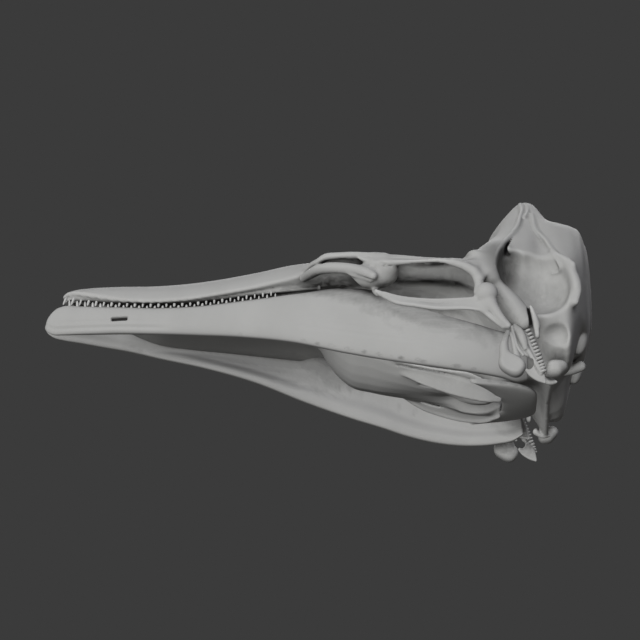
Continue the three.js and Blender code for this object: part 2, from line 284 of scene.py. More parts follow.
def rounded(outline, per_side):
    """Closed smooth outline through the points of a half section and their mirror image, n by 2."""
    whole = np.vstack([outline, outline[-2:0:-1] * [-1, 1]])
    t = np.arange(len(whole) * per_side) / per_side
    i = t.astype(int)
    u = (t - i)[:, None]
    a, b, c, d = (whole[(i + k) % len(whole)] for k in (-1, 0, 1, 2))
    return catmull_rom(a, b, c, d, u)


def outline_distance(outline, s, z):
    """Signed distance to a closed outline: nearest point of any side, negative inside (odd crossings)."""
    p, q = outline, np.roll(outline, -1, axis=0)
    side = q - p
    best = np.full(s.shape, FAR ** 2)
    inside = np.zeros(s.shape, dtype=bool)
    for (ps, pz), (qs, qz), (ds, dz) in zip(p, q, side):
        ws, wz = s - ps, z - pz
        h = np.clip((ws * ds + wz * dz) / max(ds * ds + dz * dz, 1e-9), 0, 1)
        best = np.minimum(best, (ws - ds * h) ** 2 + (wz - dz * h) ** 2)
        if dz:
            inside ^= ((pz <= z) != (qz <= z)) & (s < ps + wz / dz * ds)
    return np.where(inside, -1, 1) * np.sqrt(best)


def finer(values, axis):
    """Twice as many samples along an axis: a new one is (9 (b + c) - (a + d)) / 16 of its neighbours."""
    v = np.moveaxis(values, axis, 0)
    padded = np.concatenate([2 * v[:1] - v[1:2], v, 2 * v[-1:] - v[-2:-1]])
    made = np.empty((2 * len(v) - 1,) + v.shape[1:], dtype=np.float32)
    made[::2] = v
    made[1::2] = (9 * (padded[1:-2] + padded[2:-1]) - padded[:-3] - padded[3:]) / 16
    return np.moveaxis(made, 0, axis)


def add_mass(clay, stations, blend, per_side=4):
    """Adds a body given by its half sections: rows of x and a list of (s, z)."""
    table = np.array([[x] + [v for point in half for v in point] for x, half in stations], dtype=float)
    x, s, z = (line[::2] for line in clay.axis)
    halves = spread(table, x).reshape(len(x), -1, 2)
    ss, zz = np.meshgrid(s, z, indexing="ij")
    rough = np.full((len(x), len(s), len(z)), FAR, dtype=np.float32)
    low, high = table[0, 0], table[-1, 0]
    for i in np.nonzero((x > low - 8) & (x < high + 8))[0]:
        flat = outline_distance(rounded(halves[i], per_side), ss, zz)
        rough[i] = np.maximum(flat, max(low - x[i], x[i] - high)) if x[i] < low or x[i] > high else flat
    for axis in range(3):
        rough = finer(rough, axis)
    cut = tuple(slice(0, min(a, b)) for a, b in zip(rough.shape, clay.count))
    clay.merge(cut, rough[cut], blend, carve=False)


# %% [markdown]
# The snout is a long wedge with a channel on top, a ridge along each side and a palate below.
# Each row holds x, half width, ridge height, top, crest half width, gum height, palate height and the
# share of the half width that the palate takes, and a function turns a row into a half section.
# The braincase follows no such rule, so each of its half sections is a short list of s and z.

# %% Snout and braincase
SNOUT = [
    (9.8, 3.0, 18.4, 19.8, 1.3, 17.4, 17.2, 0.5), (12, 5.4, 19.2, 21.4, 2.2, 17.0, 16.8, 0.5),
    (18, 8.8, 18.6, 23.2, 3.4, 16.0, 15.6, 0.5), (27, 11.8, 15.8, 23.6, 4.8, 13.9, 12.0, 0.5),
    (45, 16.1, 10.6, 23.2, 6.6, 9.3, 1.0, 0.52), (68, 22.0, 6.0, 21.5, 9.4, 5.2, -8.4, 0.62),
    (88, 28.2, 3.8, 20.8, 12.6, 2.6, -10.0, 0.68), (110, 35.4, 3.2, 21.5, 16.0, 1.4, -10.4, 0.72),
    (132, 42.2, 3.6, 23.6, 19.0, 0.6, -10.6, 0.78), (154, 47.6, 5.6, 27.0, 20.5, -0.2, -10.8, 0.84),
    (172, 49.6, 8.4, 27.6, 21.0, -1.0, -11.6, 0.88),
]


def snout_section(half, ridge, top, crest, gum, palate, share):
    """Half section of the snout: a channel on top, a bulging side, the ridge, the gum and the palate."""
    return [(0, top - 0.35 * crest), (crest * 0.3, top - 0.3 * crest), (crest * 0.62, top - 0.6),
            (crest, top), (crest + (half - crest) * 0.35, top - (top - ridge) * 0.19),
            (crest + (half - crest) * 0.64, top - (top - ridge) * 0.38),
            (crest + (half - crest) * 0.86, top - (top - ridge) * 0.64), (half, ridge + 1.4),
            (half - 0.6, ridge - 0.8),
            (half * 0.96 - 1.6, (ridge + gum) / 2), (half * 0.94 - 1.6, gum), (half * share, gum - 0.6),
            (half * share, palate + 2), (half * share - 2, palate), (half * 0.4, palate - 0.4),
            (0, palate - 0.6)]


BODY = [
    (150, [(0, 20), (10, 25), (24, 22), (38, 12), (45, 7), (40, 1), (26, -3), (12, -6), (0, -6)]),
    (166, [(0, 20), (13, 28), (26, 24), (42, 15), (50, 9), (44, 3), (28, -6), (12, -12), (0, -12)]),
    (174, [(0, 22), (13, 31), (30, 24), (48, 16), (58, 11), (48, 5), (34, -9), (20, -22), (0, -28)]),
    (186, [(0, 24), (13, 33), (32, 25), (54, 16), (64, 11), (52, 5), (34, -10), (23, -32), (0, -42)]),
    (200, [(0, 22), (14, 32), (34, 24), (56, 14), (68, 8), (53, 2), (35, -12), (24, -36), (0, -47)]),
    (222, [(0, 24), (14, 30), (36, 21), (58, 11), (70, 4), (54, -5), (36, -16), (21, -44), (0, -50)]),
    (242, [(0, 31), (14, 28), (36, 19), (58, 9), (72, 1), (54, -7), (36, -18), (16, -51), (0, -52)]),
    (258, [(0, 35), (14, 31), (40, 19.5), (65, 7.5), (75, -2), (58, -9), (38, -20), (11, -60), (0, -50)]),
    (272, [(0, 49), (16, 41), (40, 30), (64, 16), (75, -4), (64, -16), (40, -30), (11, -60), (0, -48)]),
    (284, [(0, 65), (14, 58), (38, 38), (59, 17), (71, -6), (66, -24), (44, -38), (18, -50), (0, -46)]),
    (294, [(0, 73.6), (5, 72), (32, 43), (54, 20), (69, -8), (68, -28), (48, -44), (28, -52), (0, -48)]),
    (302, [(0, 71.8), (8, 68.4), (30, 44), (48, 22), (68, -6), (68, -26), (52, -46), (34, -56), (0, -50)]),
    (308, [(0, 62), (14, 57), (32, 44), (50, 22), (67, -4), (66, -26), (54, -46), (34, -56), (0, -46)]),
    (316, [(0, 55), (17, 52), (34, 40), (52, 18), (64, -2), (63, -24), (54, -44), (34, -50), (0, -36)]),
    (323, [(0, 53), (17, 49.5), (34, 36), (48, 16), (54, -4), (50, -22), (40, -28), (26, -28), (0, -30)]),
    (328, [(0, 49), (15, 46), (30, 33), (39, 16), (40, -4), (37, -18), (30, -24), (18, -26), (0, -26)]),
    (330.6, [(0, 42), (11, 40), (22, 29), (28, 14), (28, -2), (25, -12), (19, -18), (10, -20), (0, -20)]),
]

CELL = 0.8
skull = Clay((4.0, 0.5 * CELL, -78.0), (338, 90, 79), CELL)
add_mass(skull, BODY, 1.0)
add_mass(skull, [(row[0], snout_section(*row[1:])) for row in SNOUT], 2.0)
print("grid of", round(skull.field.size / 1e6, 1), "million points")


def measured(step):
    """Prints the bone made so far on both sides: twice the points inside times cell^3, in millilitres."""
    volume = 2 * float((skull.field < 0).sum()) * CELL ** 3 / 1000
    print(step, "done:", round(volume), "ml of bone")


measured("snout and braincase")

# %% [markdown]
# Face and top of the head: the nostrils, the hollow of the face and the crests round the temple.
# Hollows are large soft lumps taken away. A crest is a thin raised line where muscle was fixed, so each
# one is a slim bar on a smooth curve, with the radius as the fourth number of its points.

# %% Nostrils, face and crests
skull.lump((206, 7.5, 30), (9, 6.2, 20), 2.5, lean=-12, carve=True)
skull.lump((252, 14, 49), (30, 24, 13), 9.0, lean=-38, carve=True)
skull.lump((264.5, 64, 7.0), (6.5, 8, 3.8), 4.0, lean=-26)
skull.tube([(293.6, 6, 71.6, 1.2), (293.8, 15.5, 62.6, 1.0), (292.2, 22.5, 55.1, 1.0),
            (290.3, 31.5, 45.2, 1.0), (286.5, 42.8, 34.2, 1.1), (281.7, 54, 24.0, 1.1),
            (277.7, 63.3, 14.8, 1.1), (275.8, 68, 8.2, 1.2), (274.8, 70, 3.0, 1.3),
            (273.4, 72.6, -3.0, 1.4)], 2.2)
skull.tube([(297.7, 6.8, 69.8, 0.8), (297, 16, 61.4, 0.8), (294.6, 22.8, 53.8, 0.7)], 1.4)
skull.tube([(299.6, 17, 58.8, 0.9), (299.8, 24, 51.6, 1.0), (299.9, 29.8, 44.6, 1.0),
            (301.1, 36, 37.4, 1.0), (304.9, 45.2, 27.3, 1.0), (308, 54.5, 16.1, 1.0), (313, 61, 7.5, 1.0),
            (318.3, 63, 2.3, 1.0)], 2.0)
skull.tube([(307.8, 55.8, 14.1, 0.8), (312.8, 61, 4.8, 1.0), (315.4, 62.4, -2.1, 1.0),
            (317.4, 64.6, -11.5, 1.2)], 2.5)
skull.web([(285.4, 49, 26.6, 0.4), (281.8, 58.5, 18.4, 0.6), (279.4, 65, 11.4, 0.7)],
          [(284.6, 46, 25.2, 0.4), (282.4, 54, 16.4, 0.6), (280.6, 60, 9.8, 0.7)], 0.8, carve=True)
measured("nostrils, face and crests")

# %% [markdown]
# Temple: a broad pit with a sharp front edge. Its floor looks backwards and a little downwards.
# One squared lump carves it with a small fillet, which keeps the rim crisp. Bars make its hook and rear rim.

# %% Temple
skull.lump((300.5, 80, -8.0), (23.5, 31, 24.5), 3.0, power=2.3, yaw=-24, roll=-9, carve=True)
skull.tube([(308.2, 57.9, 11.2, 0.5), (310.7, 58.9, 6.1, 0.7), (312.2, 58.7, 2.4, 0.7),
            (311.2, 56.2, 1.0, 0.7), (307.3, 53.5, 1.2, 0.4)], 1.0)
skull.tube([(316, 59, 5, 1.4), (319.5, 62.6, -4.4, 1.8), (320.6, 64, -14, 2.2), (318.6, 64.6, -22, 2.2)],
           7.0)
measured("temple")

# %% [markdown]
# Eye socket: its roof slopes down inwards, with a broad flute along the middle, and a slim bar closes it.
# A web is a plate between two curves. It carves the roof here, and other webs then add the brow.

# %% Eye socket
skull.web([(212, 88, -7, 5.0), (220, 88, -5.0, 9.2), (232, 88, -5.4, 9.6), (246, 88, -6.2, 9.6),
           (252.5, 88, -9, 8.0)],
          [(212, 40, -20, 5.0), (220, 40, -20, 9.2), (232, 40, -20.5, 9.6), (246, 40, -21.5, 9.6),
           (252.5, 40, -24, 8.0)], 2.0, carve=True)
skull.tube([(208, 55, -15.0, 12), (222, 55, -16.8, 14), (240, 55, -17.6, 14), (250, 56, -18.6, 13.5),
            (258, 59, -17.6, 8)], 2.0, carve=True)
skull.web([(205, 71, 7.2, 1.7), (212, 72.3, 6.0, 1.7), (220, 73, 5.0, 1.7), (231, 74, 3.3, 1.5),
           (243, 74.6, 1.9, 1.4), (254, 75, 0.8, 1.6), (264, 73, -0.6, 1.6)],
          [(205, 74, 1.4, 1.7), (212, 75.4, 1.0, 1.7), (220, 75.8, 0.9, 1.7), (231, 76, 1.2, 1.4),
           (243, 76.2, 0.9, 1.3), (254, 77.4, -2.6, 1.8), (262, 79, -8, 2.2)], 2.0)
skull.tube([(250, 76.8, -0.6, 1.6), (257, 78, -4, 2.0), (262, 79.4, -9, 2.4), (264, 80.4, -16, 2.4),
            (263.4, 81, -22, 2.4)], 2.0)
skull.lump((223.5, 78.0, 3.4), (17, 2.6, 1.5), 1.0, lean=-3.5, carve=True)
skull.web([(262, 73, -1, 2.0), (271, 67, 6, 1.6), (275.4, 64, 9.5, 1.2)],
          [(265, 80, -13, 2.2), (268.5, 77.6, -9, 1.6), (272.5, 73.5, -5, 1.2)], 3.0)
skull.lump((284.6, 68.5, -1), (8.5, 16, 16), 3.0, power=2.4, carve=True)
measured("eye socket")

# %% [markdown]
# In front of the eye the bone folds: a roll on top, a slit, a lower roll with a tongue, and a bulb under
# them. Rolls are added as fat bars, and the slits between them are carved last with thin ones.

# %% Folds in front of the eye
skull.tube([(165, 49, 10.4, 2.2), (168.5, 54, 10.8, 2.3), (172.6, 60, 10.2, 2.3), (177.5, 64, 11.2, 2.3),
            (186, 67, 10.2, 2.2), (193.5, 69, 9.3, 2.2), (203, 71, 7.5, 2.2), (211, 72, 6.2, 2.2)], 2.4)
skull.tube([(196, 71, 7.0, 0.6), (199, 71.2, 5.6, 1.4), (204.5, 72.6, 2.8, 2.2)], 1.0)
skull.tube([(163, 51, 4.2, 2.4), (168, 57, 4.4, 3.0), (173, 62.5, 4.2, 3.2), (180, 66.5, 3.0, 3.3),
            (188, 69.3, 1.2, 3.2), (195, 71.5, -1.4, 3.4), (200.6, 73.4, -4.2, 3.4),
            (204.4, 74.4, -6.6, 2.6)], 1.4)
skull.lump((205, 66.5, -2.6), (13.4, 8, 7.8), 2.0)
skull.lump((212, 71, 0), (7, 5, 5), 2.5)
skull.tube([(190, 70.6, -1.8, 1.1), (193, 71.2, -4.0, 1.2), (198, 71.6, -5.8, 1.2), (203, 72, -8.2, 1.1)],
           0.8)
skull.web([(174, 74, 6.0, 0.4), (179, 76, 7.2, 0.7), (184, 78, 7.4, 0.8), (188, 79, 7.0, 0.7),
           (191, 79, 6.2, 0.35)],
          [(175, 60, 6.5, 0.4), (179, 60, 7.6, 0.7), (184, 61, 7.8, 0.8), (188, 62, 7.5, 0.7),
           (190.6, 64, 7.0, 0.35)], 0.5, carve=True)
skull.tube([(204, 75.6, 1.6, 0.5), (206, 75.8, -1.8, 0.7), (208.6, 75.6, -4.6, 0.8),
            (212.5, 74.6, -6.4, 0.6), (217, 72, -7.6, 0.4)], 0.7, carve=True)
skull.tube([(196, 73.6, 1.8, 0.4), (201, 76, -0.4, 0.6), (205.5, 77, -4.2, 0.7), (208, 76.6, -7.4, 0.6)],
           0.8, carve=True)
skull.tube([(190, 72.6, -3.2, 0.4), (195, 73.4, -5.3, 0.6), (201, 74.2, -7.9, 0.6), (206, 74, -9.6, 0.5)],
           0.6, carve=True)
skull.tube([(210, 76, -1, 0.4), (215, 75, -3.5, 0.45)], 0.5, carve=True)
skull.tube([(209, 76.4, 0.4, 0.4), (215.5, 75.6, -1.6, 0.45)], 0.5, carve=True)
skull.lump((176, 52, -8.4), (24, 20, 8.6), 2.0, power=2.6, lean=-3, carve=True)
measured("folds")

# %% [markdown]
# Cheek bar: two thin lips with a groove between them, running back to a knob and the end of the temple
# bar. A web is its core, two thin bars are the lips, and a third one carves the groove.

# %% Cheek bar and knob
skull.web([(206, 73, -15.4, 1.0), (212.9, 76.6, -20.2, 1.3), (218.4, 78.6, -23.1, 1.5),
           (228, 79, -25.2, 1.5), (241, 79.2, -26.3, 1.5), (258, 80, -26.4, 1.6), (264, 80.4, -25.5, 2.0)],
          [(208, 74, -18, 1.0), (213, 77, -21.8, 1.2), (218.3, 79, -25.5, 1.4), (228, 80, -27.6, 1.5),
           (241, 80, -29.6, 1.6), (258, 80.4, -29.6, 1.6), (264, 80.4, -29.8, 1.6)], 1.5)
skull.tube([(210, 74, -18.6, 1.2), (207, 69.5, -15.8, 1.4), (205.4, 66, -12.2, 1.8), (204.8, 65, -8, 2.4)],
           1.2)
skull.tube([(211, 76, -18.6, 0.6), (218.4, 79.5, -22.7, 0.7), (228, 80.3, -24.7, 0.8),
            (241, 80.5, -25.9, 0.8), (256, 80.8, -26.0, 0.8), (266, 81, -25.6, 0.6)], 1.8)
skull.tube([(211, 76, -20.6, 0.7), (218.3, 80.0, -26.3, 0.9), (228, 81.0, -28.8, 1.0),
            (241, 81.3, -31.2, 1.1), (256, 81.4, -31.6, 1.0), (267, 81, -33.4, 0.8)], 1.8)
skull.tube([(226, 82.6, -26.2, 0.6), (236, 82.8, -27.4, 1.3), (246, 83, -28.2, 1.4),
            (257, 83.4, -28.2, 0.7)], 0.8, carve=True)
skull.tube([(262, 80.4, -29.8, 1.6), (266.5, 80.6, -33.6, 1.5), (270.2, 80.6, -37.2, 1.4),
            (273.9, 80.4, -40.6, 1.3), (277, 80, -43, 1.4)], 1.2)
skull.lump((268.6, 80.6, -28), (5, 3.2, 6), 1.5)
skull.tube([(269.6, 72, -7.6, 4.0), (272.6, 69, -13.0, 5.4), (276.4, 68, -18, 6.4),
            (281.4, 67.4, -24.0, 7.0), (286, 67, -30.0, 6.6), (289, 67, -34.0, 5.4)], 5.0)
skull.tube([(269, 80.6, -26, 4.0), (272, 80.6, -32, 3.2), (275.6, 80.6, -38, 2.6),
            (279.4, 80.6, -42.6, 1.9)], 1.2)
skull.lump((270, 73, -9.4), (5.5, 4.6, 5.4), 2.0)
skull.lump((268.2, 80.6, -22.4), (6.5, 5.4, 6.3), 0.5)
skull.tube([(262.6, 84.5, -24.6, 0.5), (265.8, 84.8, -29.5, 0.6), (269.7, 84.2, -34.6, 0.6),
            (273, 83.8, -39.4, 0.6), (277, 83, -43.6, 0.5)], 0.5, carve=True)
measured("cheek bar")

# %% [markdown]
# Behind the cheek: a spike with a slit, a cup, a small lobe, the base crest and the neck joint.
# The two big cuts, one under the base and one for the spine, are made over the midline.

# %% Back and base of the skull
skull.tube([(293, 71, -26.6, 0.6), (294.2, 71, -31, 1.4), (295.4, 69.4, -36, 2.2), (296.6, 66.6, -42, 2.8)],
           2.5)
skull.web([(291.6, 74, -27.6, 0.5), (292.4, 74, -33, 0.8), (293.6, 73.4, -39, 0.9), (295.4, 72, -46, 0.6)],
          [(291, 64, -27.6, 0.5), (291.6, 64, -33, 0.8), (292.6, 64, -39, 0.9), (294.4, 64, -46, 0.6)], 0.6,
          carve=True)
skull.lump((307.8, 70, -45.6), (9.8, 15, 12.0), 1.0, power=2.8, lean=14, carve=True)
skull.lump((305.6, 54, -58.6), (5.0, 6.0, 5.0), 1.2, power=2.4)
skull.lump((309.4, 53, -57), (3.8, 5.0, 3.6), 2.0)
skull.lump((294, 0, -62), (14, 34, 8), 3.0, carve=True)
skull.web([(300.4, 0, -46, 2.6), (300.6, 20, -47.5, 2.6), (300.6, 42, -51, 2.6)],
          [(304, 0, -57.4, 1.6), (304.4, 20, -59, 1.6), (304.6, 42.6, -61.6, 1.7)], 3.0)
skull.tube([(299, 43.4, -60, 2.2), (303, 44, -62.6, 1.6), (306.6, 44, -62.4, 1.0)], 1.5)
skull.lump((321, 23, -17), (8, 9.4, 20), 2.0, lean=4)
skull.tube([(300, 0, 0, 13), (345, 0, -4, 14)], 3.0, carve=True)
skull.tube([(302, 0, -37.6, 3.6), (316, 0, -37.4, 3.6), (324.8, 0, -35.2, 3.2)], 1.2)
measured("back and base")

# %% [markdown]
# Under the face stand thin leaves: a broad one whose edge curves up behind, and a narrow one outside it.
# Each is a thin web. A thicker web holds it up from inside, and carved ones keep the leaves apart.

# %% Leaves under the face
skull.web([(214, 17, -41.0, 0.6), (224, 20.6, -47.8, 0.8), (232, 21.4, -52.4, 0.9), (243.6, 21, -57.0, 0.9),
           (255, 20, -60.4, 0.9), (266.6, 17.6, -62.2, 0.9), (275.2, 13.4, -61.0, 0.9)],
          [(214, 18, -39.0, 0.6), (224, 23, -43.4, 0.8), (232, 24, -46.0, 0.9), (243.6, 24.4, -49.4, 0.9),
           (255, 24, -53.0, 0.9), (266.6, 20, -55.8, 0.9), (275.6, 14, -59.4, 0.9)], 1.2)
skull.web([(214, 16, -41.0, 0.8), (224, 19.4, -47.0, 1.0), (232, 20, -51.2, 1.2), (243.6, 20, -55.6, 1.2),
           (255, 19, -59.0, 1.2), (266.6, 16.6, -60.8, 1.2), (275.2, 12.6, -60.0, 1.0)],
          [(214, 12, -39, 1.6), (224, 12, -43, 2.2), (232, 11, -46.4, 2.4), (243.6, 10, -50, 2.4),
           (255, 10, -54, 2.4), (266.6, 9, -56.0, 2.2), (275, 8, -56.0, 1.6)], 2.0)
skull.web([(210, 24, -36.0, 0.6), (219, 26.6, -40.2, 0.8), (235.3, 28, -45.2, 0.8), (249.7, 28, -47.8, 0.8),
           (258.4, 27.4, -49.4, 0.8), (269.8, 21.6, -53.6, 0.8), (275.4, 15.6, -57.6, 0.7)],
          [(210, 20, -34.6, 0.8), (219, 22.4, -41.0, 1.0), (235.3, 23.6, -46.2, 1.2),
           (249.7, 23.4, -50.2, 1.2), (258.4, 22.6, -52.6, 1.2), (269.8, 18.0, -56.0, 1.0),
           (275.4, 13.4, -58.6, 0.8)], 1.6)
skull.tube([(216, 22.6, -40.0, 0.4), (224, 24.6, -42.6, 0.6), (232, 26, -45.0, 0.8),
            (243.6, 26.4, -48.2, 0.8), (255, 26, -51.4, 0.8), (266.6, 22, -54.4, 0.7),
            (274, 16.4, -58.2, 0.5)], 0.8, carve=True)
skull.web([(230, 14, -50, 1.0), (245, 14, -52, 1.6), (262, 12, -55, 1.4), (271, 8, -57, 0.9)],
          [(230, 16, -40, 1.0), (245, 17, -44, 2.0), (262, 15, -47, 2.0), (271, 11, -50, 1.2)], 1.0,
          carve=True)
skull.tube([(222, 0, -56, 3), (240, 0, -60, 4), (262, 0, -63, 4), (284, 0, -62, 4)], 2.5, carve=True)
measured("leaves")

# %% [markdown]
# The surface is the place where the field is zero.
# Each cell that it crosses gets one vertex, and each grid edge that it crosses joins four of them.
# Blender could do this with metaballs or a voxel remesh, but both round off the thin leaves and slits.

# %% Surface of a field
def surface(field, origin, cell):
    """Vertices and four-sided faces of the zero level of a field."""
    inside = field < 0
    shape = np.array(field.shape) - 1
    corners = [(i, j, k) for i in (0, 1) for j in (0, 1) for k in (0, 1)]
    tally = np.zeros(shape, dtype=np.int8)
    for i, j, k in corners:
        tally += inside[i:i + shape[0], j:j + shape[1], k:k + shape[2]]
    cells = np.argwhere((tally > 0) & (tally < 8))
    number = np.full(shape, -1, dtype=np.int32)
    number[tuple(cells.T)] = np.arange(len(cells))
    value = {c: field[tuple((cells + c).T)] for c in corners}
    total = np.zeros((len(cells), 3))
    hits = np.zeros(len(cells))
    for a in corners:
        for axis in range(3):
            if a[axis]:
                continue
            b = tuple(1 if n == axis else a[n] for n in range(3))
            crossed = (value[a] < 0) != (value[b] < 0)
            t = value[a] / np.where(crossed, value[a] - value[b], 1)
            total += (np.array(a) + t[:, None] * (np.arange(3) == axis)) * crossed[:, None]
            hits += crossed
    vertices = origin + cell * (cells + total / hits[:, None])
    faces = []
    for axis in range(3):
        u, v = (axis + 1) % 3, (axis + 2) % 3
        first, second = [slice(None)] * 3, [slice(None)] * 3
        first[axis], second[axis] = slice(None, -1), slice(1, None)
        start, end = inside[tuple(first)], inside[tuple(second)]
        edges = np.argwhere(start != end)
        keep = (edges[:, u] > 0) & (edges[:, v] > 0) & (edges[:, u] < shape[u]) & (edges[:, v] < shape[v])
        edges = edges[keep]
        du, dv = np.eye(3, dtype=int)[u], np.eye(3, dtype=int)[v]
        ring = [edges, edges - du, edges - du - dv, edges - dv]
        quads = np.stack([number[tuple(c.T)] for c in ring], axis=1)
        faces.append(np.where(start[tuple(edges.T)][:, None], quads, quads[:, ::-1]))
    return vertices, np.vstack(faces)


def blurred(values, reach):
    """Mean over a box of 2 reach + 1 samples each way, twice, from differences of running sums."""
    for axis in (0, 1, 2, 0, 1, 2):
        v = np.moveaxis(values, axis, 0)
        padded = np.concatenate([np.repeat(v[:1], reach + 1, axis=0), v, np.repeat(v[-1:], reach, axis=0)])
        sums = np.cumsum(padded, axis=0, dtype=np.float64)
        mean = ((sums[2 * reach + 1:] - sums[:-2 * reach - 1]) / (2 * reach + 1)).astype(np.float32)
        values = np.moveaxis(mean, 0, axis)
    return values


def sampled(values, origin, cell, points):
    """Values of a grid at points, mixed evenly from the eight samples round each."""
    at = np.clip((points - origin) / cell, 0, np.array(values.shape) - 1.001)
    low = at.astype(int)
    u = at - low
    total = np.zeros(len(points))
    for i in (0, 1):
        for j in (0, 1):
            for k in (0, 1):
                weight = (np.where(i, u[:, 0], 1 - u[:, 0]) * np.where(j, u[:, 1], 1 - u[:, 1])
                          * np.where(k, u[:, 2], 1 - u[:, 2]))
                total += weight * values[low[:, 0] + i, low[:, 1] + j, low[:, 2] + k]
    return total


# %% [markdown]
# Every piece is a mesh at the origin. A Decimate pass brings the count down where the bone is smooth.
# Each vertex also keeps how much bone lies round it, which the materials use for painted shade in hollows and
# a painted highlight on edges.
# The cranium is first: the field of one half and its mirror image make one whole.

# %% Pieces at the origin
def mesh_object(name, vertices, faces):
    """Object at the origin with vertices in head frame millimetres and faces of equal side count."""
    mesh = bpy.data.meshes.new(name)
    mesh.vertices.add(len(vertices))
    mesh.vertices.foreach_set("co", to_world(vertices).astype(np.float32).ravel())
    sides = faces.shape[1]
    mesh.loops.add(faces.size)
    mesh.loops.foreach_set("vertex_index", faces.astype(np.int32).ravel())
    mesh.polygons.add(len(faces))
    mesh.polygons.foreach_set("loop_start", np.arange(len(faces), dtype=np.int32) * sides)
    mesh.polygons.foreach_set("use_smooth", np.ones(len(faces), dtype=bool))
    mesh.update(calc_edges=True)
    mesh.validate()
    made = bpy.data.objects.new(name, mesh)
    bpy.context.scene.collection.objects.link(made)
    return made


def decimated(piece, triangles):
    """The piece with about that many triangles, its modifier applied."""
    count = sum(len(p.vertices) - 2 for p in piece.data.polygons)
    modifier = piece.modifiers.new("decimate", "DECIMATE")
    modifier.ratio = min(1.0, triangles / count)
    graph = bpy.context.evaluated_depsgraph_get()
    mesh = bpy.data.meshes.new_from_object(piece.evaluated_get(graph))
    piece.modifiers.clear()
    old = piece.data
    piece.data = mesh
    bpy.data.meshes.remove(old)
    return piece


def head_points(piece):
    """Vertices of a piece in head frame millimetres: the inverse of to_world."""
    points = np.empty(len(piece.data.vertices) * 3, dtype=np.float32)
    piece.data.vertices.foreach_get("co", points)
    p = points.reshape(-1, 3) * 1000 - SHIFT
    x = p[:, 0] * math.cos(TILT) + p[:, 2] * math.sin(TILT) + REST_X
    z = -p[:, 0] * math.sin(TILT) + p[:, 2] * math.cos(TILT) + REST_Z
    return np.stack([x, p[:, 1], z], axis=1)


def give(piece, name, values):
    """Stores one number per vertex, for the materials."""
    layer = piece.data.attributes.new(name, "FLOAT", "POINT")
    layer.data.foreach_set("value", np.asarray(values, dtype=np.float32))


def own(piece, node, slot):
    """Parents a piece to the root body and hides the CAD part that it stands for."""
    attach(piece, "root")
    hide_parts(node)
    return piece


def shade(piece, field, origin, cell, mirrored=False):
    """Stores how much bone lies round each vertex: 0.5 on a flat, more in a hollow, less on an edge."""
    solid = np.clip(0.5 - field / (2 * cell), 0, 1).astype(np.float32)
    points = head_points(piece) * [1, -1 if mirrored else 1, 1]
    give(piece, "near", sampled(blurred(solid, 1), origin, cell, points))


# %% Cranium
CRANIUM_TRIANGLES = 190000
whole = np.concatenate([skull.field[:, ::-1], skull.field], axis=1)
origin = np.array([skull.low[0], -skull.low[1] - CELL * (skull.count[1] - 1), skull.low[2]])
cranium = decimated(mesh_object("cranium_bone", *surface(whole, origin, CELL)), CRANIUM_TRIANGLES)
own(cranium, "cranium", "skull_bone")
shade(cranium, whole, origin, CELL)
print("cranium:", len(cranium.data.vertices), "vertices")

# %% [markdown]
# The ear bones are dense and crisp, and a ligament held them loosely under the skull.
# They get blocks of finer clay. The bulla is a thin shell, so a lump is made and hollowed on its outer side.
# Behind it hang a small tube and a ridge of beads, and the beads are one loop along a curve.

# %% Ear bones
EAR_CELL = 0.35
EAR_TRIANGLES = 16000
BEADS = 15
bulla = Clay((270, 60, -74), (293, 80, -38), EAR_CELL)
bulla.lump((281.2, 70.6, -62.4), (7.6, 5.2, 5.8), 1.0, power=2.6, lean=-34)
bulla.tube([(279.4, 71, -42.4, 1.3), (278, 71.4, -46.6, 1.8), (277, 71.8, -52, 2.6),
            (277.6, 71.6, -58.6, 3.4)], 2.0)
bulla.tube([(281.6, 70, -43, 1.2), (282.6, 70, -48, 1.4), (283.4, 69.6, -53, 1.6), (284.4, 69.4, -58, 2.0)],
           1.2)
bulla.lump((285.2, 76.6, -51.6), (5.4, 4.6, 6.6), 0.8, lean=-25, carve=True)
bulla.lump((281.0, 78.6, -61.6), (9.4, 4.0, 8.4), 0.8, power=3, carve=True)

tube_bone = Clay((277, 56, -74), (304, 76, -30), EAR_CELL)
tube_bone.tube([(284.2, 67.6, -37.5, 1.8), (286.2, 68.2, -41.4, 2.5), (288.0, 68.4, -46.5, 2.4),
                (289.2, 68, -51.4, 1.4)], 0.8)
tube_bone.tube([(285.0, 71, -39.6, 0.5), (286.0, 71.4, -44.6, 0.7), (287.4, 71, -50, 0.8)], 0.4, carve=True)
tube_bone.lump((289.8, 69.6, -53.2), (1.6, 3.4, 1.2), 0.4, carve=True)
tube_bone.tube([(282.2, 69, -38.5, 0.9), (282.8, 70, -44.4, 1.1), (284.4, 70, -50.8, 1.1),
                (287.6, 69, -55.6, 0.9)], 0.8)
tube_bone.web([(284, 66, -38, 1.0), (285.6, 66, -46, 1.2), (288.4, 66, -54, 1.0)],
              [(289, 65, -36, 1.0), (292.6, 65, -46, 1.2), (295.4, 64.6, -56, 1.0)], 1.5)
tube_bone.tube([(289.6, 67, -49.6, 1.1), (292.2, 67.2, -55.6, 1.3), (295.2, 67, -61.6, 1.3),
                (297.2, 66.6, -66, 0.9)], 1.0)
tube_bone.web([(289.4, 65, -63.4, 1.0), (291.6, 65, -66.4, 1.0), (295.4, 65, -69.2, 1.0),
               (299, 65, -70.9, 0.7)],
              [(294.4, 65, -60, 1.2), (296, 65, -62, 1.2), (297.8, 65, -65, 1.2), (299, 65, -69.6, 0.7)],
              1.2)
beads = smooth_line([(288.9, 67.8, -35.6), (291.8, 68, -42.4), (293.9, 68, -48.4), (295.8, 67.8, -54),
                     (297.3, 67.4, -60), (298.4, 66.8, -65)], BEADS)
sizes = np.linspace(1.7, 2.15, BEADS)
